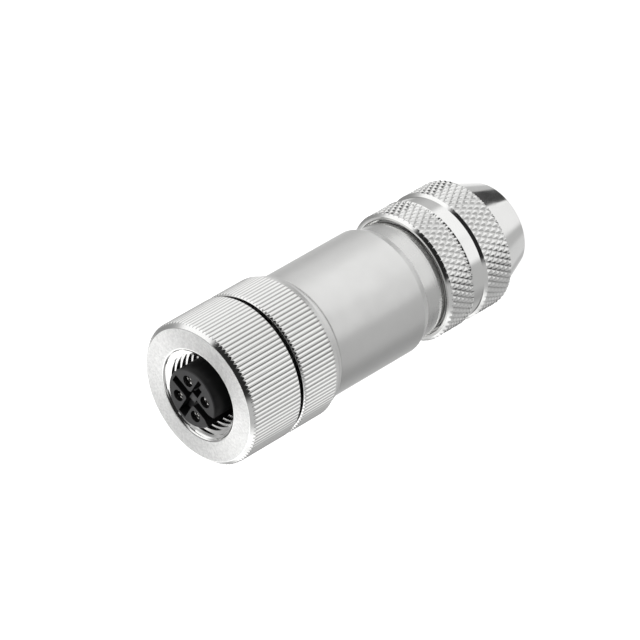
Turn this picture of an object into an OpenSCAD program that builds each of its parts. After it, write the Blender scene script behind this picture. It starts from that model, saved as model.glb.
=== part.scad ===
// Shielded M12 cable connector: female, four contacts, A-coded, with a screw
// clamp for the cable. Z runs from the cable entry, at the bottom, up to the
// mating face. The coding keyway faces +X. Threads are plain cylinders.

/* [Coupling ring] */
// Radius over the knurl of the coupling ring and of the front collar, which are flush
ring_r = 10; // [9.8:0.1:11]
// Length of the coupling ring
ring_len = 8.69; // [8:0.01:12]
// Size of the chamfer round its front face
ring_chamfer = 0.65; // [0.4:0.05:1]
// Size of the chamfer round its rear face
ring_rear_chamfer = 0.2; // [0.1:0.05:0.3]
// Radius of the coupling thread, M12
thread_r = 6; // [5.9:0.05:6.4]
// Size of the countersink at the mouth of the thread
mouth_size = 0.42; // [0.1:0.01:0.5]
// Thickness of the inner flange that the ring hangs on
flange_t = 1; // [0.8:0.1:1.4]
// Gap between the coupling ring and the front collar
ring_gap = 0.67; // [0.3:0.01:1.2]

/* [Knurls] */
// Width of one tooth of the straight knurls
knurl_pitch = 0.616; // [0.56:0.004:1]
// Depth of the straight knurls
knurl_depth = 0.22; // [0.1:0.02:0.3]
// Width of one diamond, around the clamp nut
diamond_w = 0.96; // [0.9:0.02:1.6]
// Height of one diamond, along the clamp nut
diamond_h = 1.52; // [1.4:0.02:2.4]
// Depth of the diamond knurl
diamond_depth = 0.22; // [0.1:0.01:0.24]

/* [Contact insert] */
// Radius of the insert's nose
nose_r = 4.12; // [4.06:0.01:4.2]
// Height of the mating face above the coupling ring
nose_proud = 1.1; // [0.4:0.1:2]
// Height of the step at the nose's root, inside the spigot and the mating seal
root_step = 0.18; // [0.16:0.01:0.2]
// Size of the chamfer round the mating face
nose_chamfer = 0.12; // [0.05:0.01:0.2]
// Radius of the insert's body, inside the collar
insert_r = 6.2; // [6.1:0.05:6.4]
// Length of the insert's body, inside the collar
insert_len = 9.45; // [8.5:0.05:9.8]
// Height of the step between the insert's body and its terminal end
terminal_step = 0.5; // [0.4:0.05:0.55]
// Length of the insert's terminal end
terminal_len = 4.45; // [4.2:0.05:5]
// Radius of the entry holes in the mating face
entry_r = 0.82; // [0.7:0.01:0.86]
// Depth of the entry holes
entry_depth = 0.6; // [0.4:0.05:1]
// Width of the arms of the cross-shaped recess
recess_w = 1.25; // [1:0.05:1.35]
// Depth of the cross-shaped recess
recess_depth = 1.6; // [1:0.1:2.5]
// Reach of the arms of the cross-shaped recess
recess_reach = 3.62; // [3.3:0.02:3.7]
// Depth of the coding keyway, inward from the nose
keyway_depth = 1.05; // [0.8:0.05:1.2]
// Length of the coding keyway
keyway_len = 5.8; // [5:0.1:6]
// Width of the coding keyway's flared mouth
keyway_mouth_w = 2.2; // [1.6:0.05:2.3]
// Rounding of the corners where the arms meet
recess_round = 0.4; // [0.2:0.05:0.5]
// Width of the post in the middle of the recess
post_w = 1.1; // [0.8:0.05:1.2]
// Width of the key rib that stops the insert from turning
rib_w = 1.2; // [0.8:0.1:1.6]
// Height of the key rib
rib_h = 0.5; // [0.3:0.05:0.7]

/* [Contacts] */
// Diameter of the circle that the contacts lie on
contact_pcd = 5; // [4.9:0.02:5.08]
// Radius of the mating pin
pin_r = 0.5; // [0.45:0.01:0.55]
// Outer radius of the socket contacts
contact_r = 0.92; // [0.86:0.01:0.94]
// Depth of the bore for the mating pin
socket_depth = 6.5; // [5:0.1:8]
// Width of the slot that makes the socket springy
socket_slot = 0.2; // [0.1:0.02:0.26]
// Width of the terminal lugs
lug_w = 2.3; // [2.1:0.05:2.4]
// Length of the terminal lugs
lug_len = 3.3; // [3:0.1:3.6]
// Distance of the lugs' inner faces from the axis
lug_inner = 1.6; // [1.5:0.02:1.7]
// Distance of the lugs' outer faces from the axis
lug_outer = 4.7; // [4.5:0.05:4.8]
// Height of the terminal end's rim below the lugs
lug_recess = 0.6; // [0.3:0.1:0.8]
// Radius of the wire holes in the lugs
wire_r = 0.7; // [0.5:0.05:0.8]
// Radius of the terminal screws
screw_r = 0.95; // [0.8:0.05:1]
// Length of the terminal screws
screw_len = 2; // [1.6:0.1:2.2]

/* [Front collar] */
// Length of the front collar's outside
collar_len = 7.52; // [7:0.01:10]
// Size of the chamfer round its front face
collar_chamfer = 0.3; // [0.1:0.05:0.5]
// Height of the smooth shoulder behind the knurl
shoulder_len = 1.9; // [1.2:0.05:2.2]
// Thickness of the collar's front wall
collar_wall = 1.7; // [1.4:0.1:2]
// Wall of the spigot that carries the coupling ring
spigot_wall = 0.64; // [0.58:0.01:0.74]
// Length of the thread that goes into the sleeve
joint_len = 4.65; // [4.2:0.05:5]
// Wall of the sleeve outside the thread between collar and sleeve, M16
joint_wall = 0.965; // [0.8:0.005:1.1]

/* [Snap rings and seals] */
// Thickness of both snap rings
clip_t = 0.5; // [0.4:0.05:0.7]
// Width of the gap in both snap rings
clip_gap = 1.4; // [1:0.1:2]
// Depth of the grooves that hold the snap rings
clip_groove = 0.3; // [0.2:0.02:0.35]
// Thickness of the spigot's lip above its snap ring
clip_lip = 0.3; // [0.2:0.05:0.5]
// Thickness of the O-ring at the root of the nose
mating_seal_t = 0.95; // [0.8:0.05:1]
// Thickness of the O-ring between collar and sleeve
collar_seal_t = 0.62; // [0.5:0.02:0.66]

/* [Housing sleeve] */
// Radius of the housing sleeve
sleeve_r = 8.965; // [8.9:0.05:9.4]
// Length of the sleeve's smooth outside
sleeve_len = 16.76; // [15:0.01:24]
// Narrow gap that shows between collar and sleeve
seam = 0.08; // [0.05:0.01:0.2]
// Length of the chamfer at the sleeve's rear end
sleeve_chamfer = 1.1; // [0.4:0.01:1.3]
// Height of the chamfer at the sleeve's rear end
sleeve_chamfer_h = 0.465; // [0.3:0.005:0.6]
// Height of the turned neck above the thread for the clamp nut
neck_step = 0.2; // [0.15:0.01:0.25]
// Height of the sleeve's outside above the thread for the clamp nut, M16
clamp_step = 0.965; // [0.9:0.005:1.1]
// Length of the thread for the clamp nut
clamp_len = 8; // [7:0.1:9]
// Wall between that thread and the bore that the clamp parts slide in
seat_wall = 1.1; // [1:0.05:1.2]
// Wall of the sleeve round the wiring chamber
chamber_wall = 1.565; // [1.3:0.005:1.7]
// Thickness of the web below the wiring chamber
web_t = 1; // [0.8:0.1:1.5]
// Reach of the web, inward from the wiring chamber
web_reach = 1.8; // [1.4:0.1:2.2]
// Wall of the insulating sleeve
liner_wall = 0.5; // [0.4:0.05:0.7]

/* [Cable clamp] */
// Radius of the cable hole in the grommet
cable_hole_r = 3.3; // [3.1:0.1:4]
// Length of the grommet
grommet_len = 6; // [5:0.1:7]
// Depth of the grooves between the grommet's lips
lip_depth = 0.5; // [0.2:0.1:0.8]
// Thickness of the thrust washer
washer_t = 0.8; // [0.5:0.1:1]
// Length of the clamping cage's ring
cage_ring_len = 2.2; // [1.6:0.1:2.6]
// Wall of the clamping cage's ring
cage_wall = 1.5; // [1.2:0.1:1.8]
// Thickness of the cage's finger tips
tip_t = 0.45; // [0.35:0.05:0.6]
// Number of fingers on the cage
fingers = 8; // [6:1:10]
// Width of the slots between the fingers
finger_slot = 0.8; // [0.5:0.1:1.2]
// Length of the shield outer ring
shield_len = 2.5; // [2:0.1:3]
// Thickness of the shield inner ring's flange
shield_flange_t = 0.8; // [0.5:0.1:1]
// Gap that takes the braid between the shield rings
braid_gap = 0.2; // [0.1:0.02:0.3]

/* [Clamp nut] */
// Height of the diamond knurl's crests above the housing sleeve
nut_proud = 0.205; // [0.2:0.005:0.6]
// Length of the front band of diamond knurl
front_band_len = 4.12; // [3.6:0.01:6]
// Length of the rear band of diamond knurl
rear_band_len = 4.65; // [4:0.01:6]
// Width of the smooth groove between the bands
groove_w = 1.75; // [1:0.01:3]
// Depth of the smooth groove, below the crests
groove_depth = 0.27; // [0.24:0.01:0.32]
// Length of the chamfers beside the groove
band_chamfer = 0.45; // [0.2:0.01:0.6]
// Size of the chamfer round the nut's front face
nut_chamfer = 0.34; // [0.2:0.01:0.4]
// Length of the tapered end
cone_len = 5.66; // [5:0.01:8]
// Height of the step from the taper up to the knurl's crests
cone_step = 0.62; // [0.4:0.01:0.8]
// Fall of the taper, from the knurl to the rear face
cone_fall = 2.1; // [1.4:0.1:2.2]
// Rounding of the edge at the rear face
end_round = 0.35; // [0.2:0.05:0.9]
// Radius of the cable entry
entry_bore_r = 4.25; // [3.9:0.05:4.5]
// Length of the cable entry's straight bore
entry_bore_len = 1.2; // [1:0.1:1.6]
// Distance from the nut to the sleeve, with the nut loosely screwed on
nut_gap = 3.55; // [3.4:0.01:4]
// Travel of the nut from there until the cable is clamped
clamp_travel = 3.3; // [2.5:0.1:3.3]

/* [Fits] */
// Radial clearance of turning fits
run_gap = 0.06; // [0.03:0.01:0.08]
// Radial clearance left between mating threads
thread_gap = 0.06; // [0.04:0.01:0.1]
// Clearance between parts that seat on each other
seat_gap = 0.03; // [0.02:0.01:0.06]
// Clearance of parts that slide loosely in the sleeve
slide_gap = 0.15; // [0.1:0.01:0.2]

/* [Hidden] */

$fn = 96;
cut = 0.5;
contacts = 4;
small_bevel = 0.15;

// Radii that follow from their neighbours, from the sleeve inward and outward
collar_r = ring_r;
joint_r = sleeve_r - joint_wall;
clamp_r = sleeve_r - clamp_step;
neck_r = clamp_r + neck_step;
sleeve_end_r = sleeve_r - sleeve_chamfer_h;
seat_r = clamp_r - seat_wall;
chamber_r = sleeve_r - chamber_wall;
web_hole_r = chamber_r - web_reach;
nut_r = sleeve_r + nut_proud;
groove_r = nut_r - groove_depth;
cone_top_r = nut_r - cone_step;
cone_end_r = cone_top_r - cone_fall;
taper = atan2(cone_fall, cone_len - end_round);

// Heights of the outside, from the rear face up
nut_len = cone_len + rear_band_len + 2 * band_chamfer + groove_w + front_band_len + nut_chamfer;
sleeve_z0 = nut_len + nut_gap;
sleeve_z1 = sleeve_z0 + sleeve_len;
collar_z0 = sleeve_z1 + seam;
collar_z1 = collar_z0 + collar_len;
ring_z0 = collar_z1 + ring_gap;
ring_z1 = ring_z0 + ring_len;
face_z = ring_z1 + nose_proud;

// Heights inside the front half
flange_z1 = ring_z0 + flange_t;
clip_z0 = flange_z1 + seat_gap;
spigot_z1 = clip_z0 + clip_t + seat_gap + clip_lip;
wall_z0 = collar_z1 - collar_wall;
insert_z1 = wall_z0 - seat_gap;
insert_z0 = insert_z1 - insert_len;
terminal_z0 = insert_z0 - terminal_len;
joint_z0 = collar_z0 - joint_len;
lug_z0 = terminal_z0 + lug_recess;
lug_z1 = lug_z0 + lug_len;
socket_z1 = face_z - entry_depth;
root_z1 = spigot_z1 + mating_seal_t + 2 * seat_gap;

// Fits of the front half
root_r = nose_r + root_step;
terminal_r = insert_r - terminal_step;
spigot_bore_r = root_r + run_gap;
spigot_r = spigot_bore_r + spigot_wall;
flange_r = spigot_r + run_gap;
cavity_r = insert_r + run_gap;
joint_male_r = joint_r - thread_gap / 2;
joint_female_r = joint_r + thread_gap / 2;
clip_floor_r = spigot_r - clip_groove;
insert_clip_r = cavity_r + clip_groove;
contact_bore_r = contact_r + seat_gap;
wire_x = contact_pcd / 2 + wire_r / 3;
screw_x = wire_x + wire_r;
screw_z = lug_z0 + lug_len / 2;

// Threaded end of the sleeve, and what slides in it
neck_cover = 0.25;
neck_z0 = nut_len - neck_cover;
clamp_z0 = neck_z0 - clamp_len;
clamp_male_r = clamp_r - thread_gap / 2;
clamp_female_r = clamp_r + thread_gap / 2;
clamp_room = 0.2;
nut_bore_z0 = clamp_z0 - clamp_travel - clamp_room;
nut_mouth_z0 = neck_z0 - clamp_travel - clamp_room;
nut_mouth_r = neck_r + run_gap + seat_gap;
slide_r = seat_r - slide_gap;
cage_bore_r = slide_r - cage_wall;

// Heights of the clamp parts, stacked on the nut's inner cone
jaw_z0 = entry_bore_len + 0.25;
jaw_r0 = entry_bore_r + tip_t;
jaw_r1 = slide_r + 0.1;
cage_z0 = jaw_z0 + seat_gap;
cage_z1 = nut_bore_z0 + cage_ring_len;
washer_z0 = cage_z1 + seat_gap;
grommet_z0 = washer_z0 + washer_t + seat_gap;
shield_z0 = grommet_z0 + grommet_len + seat_gap;
shield_z1 = shield_z0 + shield_len;
flange_low = shield_z1 + braid_gap;
stack_z1 = flange_low + shield_flange_t;
web_z0 = stack_z1 + clamp_travel + clamp_room / 2;
web_z1 = web_z0 + web_t;
chamber_z1 = joint_z0 - clamp_room;

ring_teeth = round(2 * PI * ring_r / knurl_pitch);
collar_teeth = round(2 * PI * collar_r / knurl_pitch);
diamonds = round(2 * PI * nut_r / diamond_w);

nickel = [0.80, 0.79, 0.77];
satin_nickel = [0.72, 0.72, 0.71];
black_plastic = [0.13, 0.13, 0.14];
gold = [0.83, 0.69, 0.35];
rubber = [0.07, 0.07, 0.07];
spring_steel = [0.55, 0.56, 0.58];
grey_plastic = [0.45, 0.46, 0.47];

// Points round a quarter ellipse, from angle a to angle b
function arc(cr, cz, rr, rz, a, b, n = 8) =
    [for (i = [0:n]) let (t = a + (b - a) * i / n) [cr + rr * cos(t), cz + rz * sin(t)]];

// Solid of revolution from a profile of [radius, height] points
module turned(profile) {
    rotate_extrude() polygon(profile);
}

// Tube between two radii and two heights
module tube(r_out, r_in, z0, z1) {
    turned([[r_in, z0], [r_out, z0], [r_out, z1], [r_in, z1]]);
}

// Hole along Z, a little longer than the wall it cuts
module hole(r, z0, z1) {
    translate([0, 0, z0]) cylinder(r = r, h = z1 - z0);
}

module o_ring(r_in, t, z0) {
    translate([0, 0, z0 + t / 2]) rotate_extrude()
        translate([r_in + t / 2, 0]) circle(r = t / 2, $fn = 32);
}

// Prism with V-shaped grooves along Z and narrow flat crests
module straight_knurl(r, teeth, z0, z1) {
    crest = 0.16;
    step = 360 / teeth;
    translate([0, 0, z0]) linear_extrude(z1 - z0) polygon([
        for (i = [0:teeth - 1], p = [[0, r - knurl_depth], [0.5 - crest, r], [0.5 + crest, r]])
            p[1] * [cos((i + p[0]) * step), sin((i + p[0]) * step)]]);
}

// Band of raised diamonds, with its foot buried in the nut's wall. Corners of
// the net alternate between groove and crest, and grooves run between corners.
module diamond_band(z0, z1) {
    cols = 2 * diamonds;
    rows = round(2 * (z1 - z0) / diamond_h);
    foot_r = groove_r - cut;
    function rim(r, i, z) = [r * cos(180 * i / diamonds), r * sin(180 * i / diamonds), z];
    function crest_at(i, j) = (i + j) % 2 == 1;
    function at(i, j) = j * cols + i % cols;
    net = [for (j = [0:rows], i = [0:cols - 1])
        rim(crest_at(i, j) ? nut_r : nut_r - diamond_depth, i, z0 + j * (z1 - z0) / rows)];
    foot = [for (z = [z0, z1], i = [0:cols - 1]) rim(foot_r, i, z)];
    low = len(net);
    high = low + cols;
    sides = [for (j = [0:rows - 1], i = [0:cols - 1], f = crest_at(i, j)
        ? [[at(i, j), at(i, j + 1), at(i + 1, j)], [at(i + 1, j), at(i, j + 1), at(i + 1, j + 1)]]
        : [[at(i, j), at(i, j + 1), at(i + 1, j + 1)], [at(i, j), at(i + 1, j + 1), at(i + 1, j)]]) f];
    caps = [for (i = [0:cols - 1], f = let (k = (i + 1) % cols) [
        [at(i, 0), at(i + 1, 0), low + k, low + i],
        [at(i, rows), high + i, high + k, at(i + 1, rows)],
        [low + i, low + k, high + k, high + i]]) f];
    polyhedron(concat(net, foot), concat(sides, caps));
}

module at_contact(k) {
    rotate(45 + 90 * k) children();
}

// Snap ring: a flat ring with a gap, opening towards -X
module snap_ring(r_in, r_out, z0) {
    difference() {
        tube(r_out, r_in, z0, z0 + clip_t);
        translate([-r_out - cut, -clip_gap / 2, z0 - cut])
            cube([r_out, clip_gap, clip_t + 2 * cut]);
    }
}

module coupling_ring() {
    inner_r = thread_r + thread_gap / 2;
    color(nickel) difference() {
        intersection() {
            straight_knurl(ring_r, ring_teeth, ring_z0, ring_z1);
            turned([[0, ring_z0], [ring_r - ring_rear_chamfer, ring_z0],
                [ring_r + cut, ring_z0 + ring_rear_chamfer + cut],
                [ring_r + cut, ring_z1 - ring_chamfer - cut],
                [ring_r - ring_chamfer, ring_z1], [0, ring_z1]]);
        }
        hole(flange_r, ring_z0 - cut, ring_z1 + cut);
        turned([[0, flange_z1], [inner_r, flange_z1], [inner_r, ring_z1 - mouth_size],
            [inner_r + mouth_size + cut, ring_z1 + cut], [0, ring_z1 + cut]]);
    }
}

module coupling_clip() {
    color(spring_steel) snap_ring(clip_floor_r + seat_gap, spigot_r + 0.55, clip_z0);
}

module mating_seal() {
    color(rubber) o_ring(root_r + seat_gap, mating_seal_t, spigot_z1 + seat_gap);
}

// Cross-shaped recess in the mating face, with a post left in the middle
module face_recess() {
    floor_z = face_z - recess_depth;
    post_z = face_z - recess_depth / 4;
    difference() {
        for (a = [0:90:270]) rotate(a) {
            translate([0, -recess_w / 2, floor_z])
                cube([recess_reach, recess_w, recess_depth + cut]);
            translate([recess_w / 2, recess_w / 2, floor_z]) difference() {
                cube([recess_round, recess_round, recess_depth + cut]);
                translate([recess_round, recess_round, -cut])
                    cylinder(r = recess_round, h = recess_depth + 3 * cut);
            }
        }
        translate([-post_w / 2, -post_w / 2, floor_z - cut])
            cube([post_w, post_w, post_z - floor_z + cut]);
        // Stepped block at the end of the arm towards +Y
        translate([-recess_w / 5, recess_reach / 2, floor_z - cut])
            cube([recess_w, recess_reach / 2 + cut, recess_depth * 0.6 + cut]);
    }
}

// Coding keyway, flared at the surface of the nose
module keyway() {
    in_x = nose_r - keyway_depth;
    translate([0, 0, face_z - keyway_len]) linear_extrude(keyway_len + cut) polygon([
        [in_x - cut, -recess_w / 2], [in_x, -recess_w / 2], [nose_r, -keyway_mouth_w / 2],
        [nose_r + cut, -keyway_mouth_w / 2], [nose_r + cut, keyway_mouth_w / 2],
        [nose_r, keyway_mouth_w / 2], [in_x, recess_w / 2], [in_x - cut, recess_w / 2]]);
}

module contact_insert() {
    color(black_plastic) difference() {
        union() {
            turned([[0, terminal_z0], [terminal_r, terminal_z0], [terminal_r, insert_z0],
                [insert_r, insert_z0], [insert_r, insert_z1], [root_r, insert_z1],
                [root_r, root_z1], [nose_r, root_z1], [nose_r, face_z - nose_chamfer],
                [nose_r - nose_chamfer, face_z], [0, face_z]]);
            translate([-insert_r - rib_h, -rib_w / 2, insert_z0])
                cube([insert_r, rib_w, insert_len]);
        }
        face_recess();
        keyway();
        for (k = [0:contacts - 1]) at_contact(k) {
            translate([contact_pcd / 2, 0, 0]) {
                hole(entry_r, socket_z1 - cut, face_z + cut);
                hole(contact_bore_r, lug_z1, socket_z1);
            }
            translate([lug_inner - seat_gap, -lug_w / 2 - seat_gap, terminal_z0 - cut])
                cube([lug_outer - lug_inner + 2 * seat_gap, lug_w + 2 * seat_gap,
                    lug_z1 + seat_gap - terminal_z0 + cut]);
            translate([lug_outer - cut, 0, screw_z]) rotate([0, 90, 0])
                cylinder(r = screw_r + slide_gap, h = terminal_r);
        }
    }
}

// Turned contact: springy socket in front, terminal lug behind
module socket_contact(k) {
    bore_r = pin_r + run_gap / 3;
    color(gold) at_contact(k) difference() {
        union() {
            translate([contact_pcd / 2, 0, 0]) turned([[0, lug_z1 - cut], [contact_r, lug_z1 - cut],
                [contact_r, socket_z1 - seat_gap - small_bevel],
                [contact_r - small_bevel, socket_z1 - seat_gap], [0, socket_z1 - seat_gap]]);
            translate([lug_inner, -lug_w / 2, lug_z0]) cube([lug_outer - lug_inner, lug_w, lug_len]);
        }
        translate([contact_pcd / 2, 0, 0]) {
            hole(bore_r, socket_z1 - socket_depth, socket_z1 + cut);
            translate([0, -socket_slot / 2, socket_z1 - socket_depth + cut])
                cube([2 * contact_r, socket_slot, socket_depth]);
        }
        translate([wire_x, 0, 0]) hole(wire_r, lug_z0 - cut, lug_z1 - cut);
        translate([wire_x, 0, screw_z]) rotate([0, 90, 0])
            cylinder(r = screw_r + seat_gap, h = lug_outer);
    }
}

module socket_contact_1() { socket_contact(0); }
module socket_contact_2() { socket_contact(1); }
module socket_contact_3() { socket_contact(2); }
module socket_contact_4() { socket_contact(3); }

// Four slotted screws that clamp the wires in the lugs
module terminal_screws() {
    slot_w = 0.3;
    slot_depth = 0.5;
    color(spring_steel) for (k = [0:contacts - 1]) at_contact(k)
        translate([screw_x, 0, screw_z]) rotate([0, 90, 0]) difference() {
            turned([[0, 0], [screw_r - small_bevel, 0], [screw_r, small_bevel],
                [screw_r, screw_len], [0, screw_len]]);
            translate([-screw_r - cut, -slot_w / 2, screw_len - slot_depth])
                cube([2 * (screw_r + cut), slot_w, slot_depth + cut]);
        }
}

module front_collar() {
    shoulder_top = collar_z0 + shoulder_len;
    shoulder_r = (collar_r + sleeve_r) / 2;
    shoulder_mid = collar_z0 + shoulder_len * 0.45;
    shoulder_slope = (shoulder_top - shoulder_mid) / (collar_r - shoulder_r);
    seal_floor_r = joint_male_r - collar_seal_t - seat_gap;
    seal_z0 = collar_z0 - collar_seal_t - 2 * small_bevel;
    clip_low = insert_z0 - clip_t - 2 * seat_gap;
    color(nickel) difference() {
        union() {
            // Knurled outside, with the rounded shoulder cut behind the knurl
            intersection() {
                straight_knurl(collar_r, collar_teeth, collar_z0, collar_z1);
                turned(concat([[0, collar_z0]],
                    arc(sleeve_r, shoulder_mid, shoulder_r - sleeve_r, shoulder_mid - collar_z0,
                        -90, 0),
                    [[collar_r + cut, shoulder_top + cut * shoulder_slope],
                    [collar_r + cut, collar_z1 - collar_chamfer - cut],
                    [collar_r - collar_chamfer, collar_z1], [0, collar_z1]]));
            }
            // Threaded end, and the spigot that carries the coupling ring
            turned([[0, joint_z0], [joint_male_r - small_bevel, joint_z0],
                [joint_male_r, joint_z0 + small_bevel], [joint_male_r, collar_z0 + cut],
                [spigot_r, collar_z0 + cut], [spigot_r, spigot_z1 - small_bevel],
                [spigot_r - small_bevel, spigot_z1], [0, spigot_z1]]);
        }
        hole(spigot_bore_r, joint_z0 - cut, spigot_z1 + cut);
        hole(cavity_r, joint_z0 - cut, wall_z0);
        tube(spigot_r + cut, clip_floor_r, clip_z0 - seat_gap / 2, clip_z0 + clip_t + seat_gap);
        tube(insert_clip_r, cavity_r - cut, clip_low, insert_z0);
        tube(joint_r + cut, seal_floor_r, seal_z0 - seat_gap, seal_z0 + collar_seal_t + seat_gap);
        translate([-cavity_r - rib_h, -rib_w / 2 - seat_gap, joint_z0 - cut])
            cube([cavity_r, rib_w + 2 * seat_gap, wall_z0 - joint_z0 + cut]);
    }
}

module insert_clip() {
    color(spring_steel) snap_ring(terminal_r + seat_gap, insert_clip_r - seat_gap,
        insert_z0 - clip_t - seat_gap);
}

module collar_seal() {
    color(rubber) o_ring(joint_male_r - collar_seal_t, collar_seal_t,
        collar_z0 - collar_seal_t - 2 * small_bevel);
}

module housing_sleeve() {
    color(satin_nickel) difference() {
        turned([[0, clamp_z0], [clamp_male_r - small_bevel, clamp_z0],
            [clamp_male_r, clamp_z0 + small_bevel], [clamp_male_r, neck_z0], [neck_r, neck_z0],
            [neck_r, sleeve_z0], [sleeve_end_r, sleeve_z0], [sleeve_r, sleeve_z0 + sleeve_chamfer],
            [sleeve_r, sleeve_z1 - small_bevel], [sleeve_r - small_bevel, sleeve_z1],
            [0, sleeve_z1]]);
        hole(seat_r, clamp_z0 - cut, web_z0);
        turned([[0, clamp_z0 - cut], [seat_r + small_bevel + cut, clamp_z0 - cut],
            [seat_r, clamp_z0 + small_bevel], [0, clamp_z0 + small_bevel]]);
        hole(web_hole_r, web_z0 - cut, web_z1 + cut);
        hole(chamber_r, web_z1, chamber_z1 + cut);
        hole(joint_female_r, chamber_z1, sleeve_z1 + cut);
    }
}

module insulating_sleeve() {
    liner_r = chamber_r - seat_gap;
    color(grey_plastic) tube(liner_r, liner_r - liner_wall, web_z1, chamber_z1);
}

// Flanged ring whose tapered nose goes under the cable's braid
module shield_inner_ring() {
    bore_r = cable_hole_r + 0.5;
    nose_low = shield_z0 + shield_len / 4;
    color(nickel) turned([[bore_r, nose_low], [bore_r + 0.6, nose_low], [bore_r + 1.4, flange_low],
        [slide_r, flange_low], [slide_r, stack_z1], [bore_r + small_bevel, stack_z1],
        [bore_r, stack_z1 - small_bevel]]);
}

// Ring with an inner taper that presses the braid on the inner ring
module shield_outer_ring() {
    taper_r = cable_hole_r + 0.5 + 0.6 + braid_gap;
    color(nickel) turned([[taper_r, shield_z0], [slide_r, shield_z0], [slide_r, shield_z1],
        [taper_r + 0.8, shield_z1], [taper_r, shield_z0 + shield_len / 4]]);
}

// Rubber seal with three lips round the cable
module cable_grommet() {
    lips = 3;
    pitch = grommet_len / lips;
    lip_h = pitch / 4;
    inner = [for (i = [0:lips - 1], p = [[0, 0], [lip_h, 0], [2 * lip_h, lip_depth],
        [3 * lip_h, lip_depth], [4 * lip_h, 0]]) [cable_hole_r + p[1], i * pitch + p[0]]];
    color(rubber) translate([0, 0, grommet_z0]) turned(concat(
        [for (i = [len(inner) - 1:-1:0]) if (i % 5 > 0 || i == 0) inner[i]],
        [[slide_r - small_bevel, 0], [slide_r, small_bevel], [slide_r, grommet_len - small_bevel],
            [slide_r - small_bevel, grommet_len]]));
}

module thrust_washer() {
    color(grey_plastic) tube(slide_r, cage_bore_r, washer_z0, washer_z0 + washer_t);
}

// Ring with tapered fingers that the nut's inner cone presses on the cable
module clamping_cage() {
    slot_z1 = nut_bore_z0 + cage_ring_len / 5;
    color(black_plastic) difference() {
        turned([[entry_bore_r + seat_gap, cage_z0], [jaw_r0, cage_z0], [slide_r, nut_bore_z0],
            [slide_r, cage_z1], [cage_bore_r, cage_z1], [cage_bore_r, nut_bore_z0],
            [entry_bore_r + seat_gap, cage_z0 + 2 * tip_t]]);
        for (i = [0:fingers - 1]) rotate(i * 360 / fingers)
            translate([0, -finger_slot / 2, cage_z0 - cut])
                cube([seat_r, finger_slot, slot_z1 - cage_z0 + cut]);
    }
}

module clamp_nut() {
    band2_z1 = cone_len + rear_band_len;
    groove_z0 = band2_z1 + band_chamfer;
    groove_z1 = groove_z0 + groove_w;
    band1_z0 = groove_z1 + band_chamfer;
    color(nickel) difference() {
        intersection() {
            union() {
                hole(groove_r, 0, nut_len);
                diamond_band(cone_len, groove_z0);
                diamond_band(groove_z1, nut_len);
            }
            // Turned outline, whose chamfers cut into the knurl
            turned(concat([[0, 0]],
                arc(cone_end_r - end_round, end_round, end_round, end_round, -90, -taper),
                [[cone_top_r, cone_len], [nut_r + cut, cone_len], [nut_r + cut, band2_z1],
                [nut_r, band2_z1], [groove_r, groove_z0], [groove_r, groove_z1],
                [nut_r, band1_z0], [nut_r + cut, band1_z0],
                [nut_r + cut, nut_len - nut_chamfer - cut], [nut_r - nut_chamfer, nut_len],
                [0, nut_len]]));
        }
        hole(entry_bore_r, -cut, nut_len);
        turned([[0, -cut], [entry_bore_r + small_bevel + 2 * cut, -cut],
            [entry_bore_r, small_bevel + cut], [0, small_bevel + cut]]);
        turned([[0, entry_bore_len], [entry_bore_r, entry_bore_len], [jaw_r0, jaw_z0],
            [jaw_r1, nut_bore_z0], [clamp_female_r, nut_bore_z0],
            [clamp_female_r, nut_mouth_z0], [nut_mouth_r, nut_mouth_z0],
            [nut_mouth_r, nut_len + cut], [0, nut_len + cut]]);
    }
}

coupling_ring();
coupling_clip();
mating_seal();
contact_insert();
socket_contact_1();
socket_contact_2();
socket_contact_3();
socket_contact_4();
terminal_screws();
front_collar();
insert_clip();
collar_seal();
housing_sleeve();
insulating_sleeve();
shield_inner_ring();
shield_outer_ring();
cable_grommet();
thrust_washer();
clamping_cage();
clamp_nut();
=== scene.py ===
import math

import bmesh
import bpy
import numpy as np
from mathutils import Matrix, Vector


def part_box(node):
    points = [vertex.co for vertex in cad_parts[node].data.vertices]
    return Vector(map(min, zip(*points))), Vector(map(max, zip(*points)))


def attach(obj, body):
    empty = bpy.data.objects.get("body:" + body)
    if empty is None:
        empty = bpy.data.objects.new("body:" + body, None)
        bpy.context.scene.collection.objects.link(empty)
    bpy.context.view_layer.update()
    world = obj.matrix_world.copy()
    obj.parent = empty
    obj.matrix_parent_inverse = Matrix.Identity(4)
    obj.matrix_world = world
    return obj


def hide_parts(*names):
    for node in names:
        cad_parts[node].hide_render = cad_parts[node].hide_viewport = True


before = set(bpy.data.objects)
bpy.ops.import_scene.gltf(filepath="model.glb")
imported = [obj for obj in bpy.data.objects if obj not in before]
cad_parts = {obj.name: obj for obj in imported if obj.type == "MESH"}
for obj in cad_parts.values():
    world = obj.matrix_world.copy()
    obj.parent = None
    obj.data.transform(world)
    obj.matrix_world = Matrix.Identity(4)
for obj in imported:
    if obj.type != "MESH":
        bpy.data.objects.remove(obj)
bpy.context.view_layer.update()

# M12 cable connector. The turned and knurled pieces are built here from their outlines, and
# the others are the CAD's shapes with rounded edges. Everything rides on the frame's bodies.

MM = 0.001
TURN = 2 * math.pi
random = np.random.default_rng(12)


def reach(node):
    """Outer radius, lowest height and highest height of a round CAD node, in mm."""
    low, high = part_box(node)
    return high[1] / MM, low[2] / MM, high[2] / MM


# Sizes in mm, worked out from the frame's boxes and repeated from the CAD.
ring_r, ring_z0, ring_z1 = reach("coupling_ring")
nut_r, _, nut_z1 = reach("clamp_nut")
collar_r, joint_z0, spigot_z1 = reach("front_collar")
sleeve_r, clamp_z0, sleeve_z1 = reach("housing_sleeve")
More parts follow.
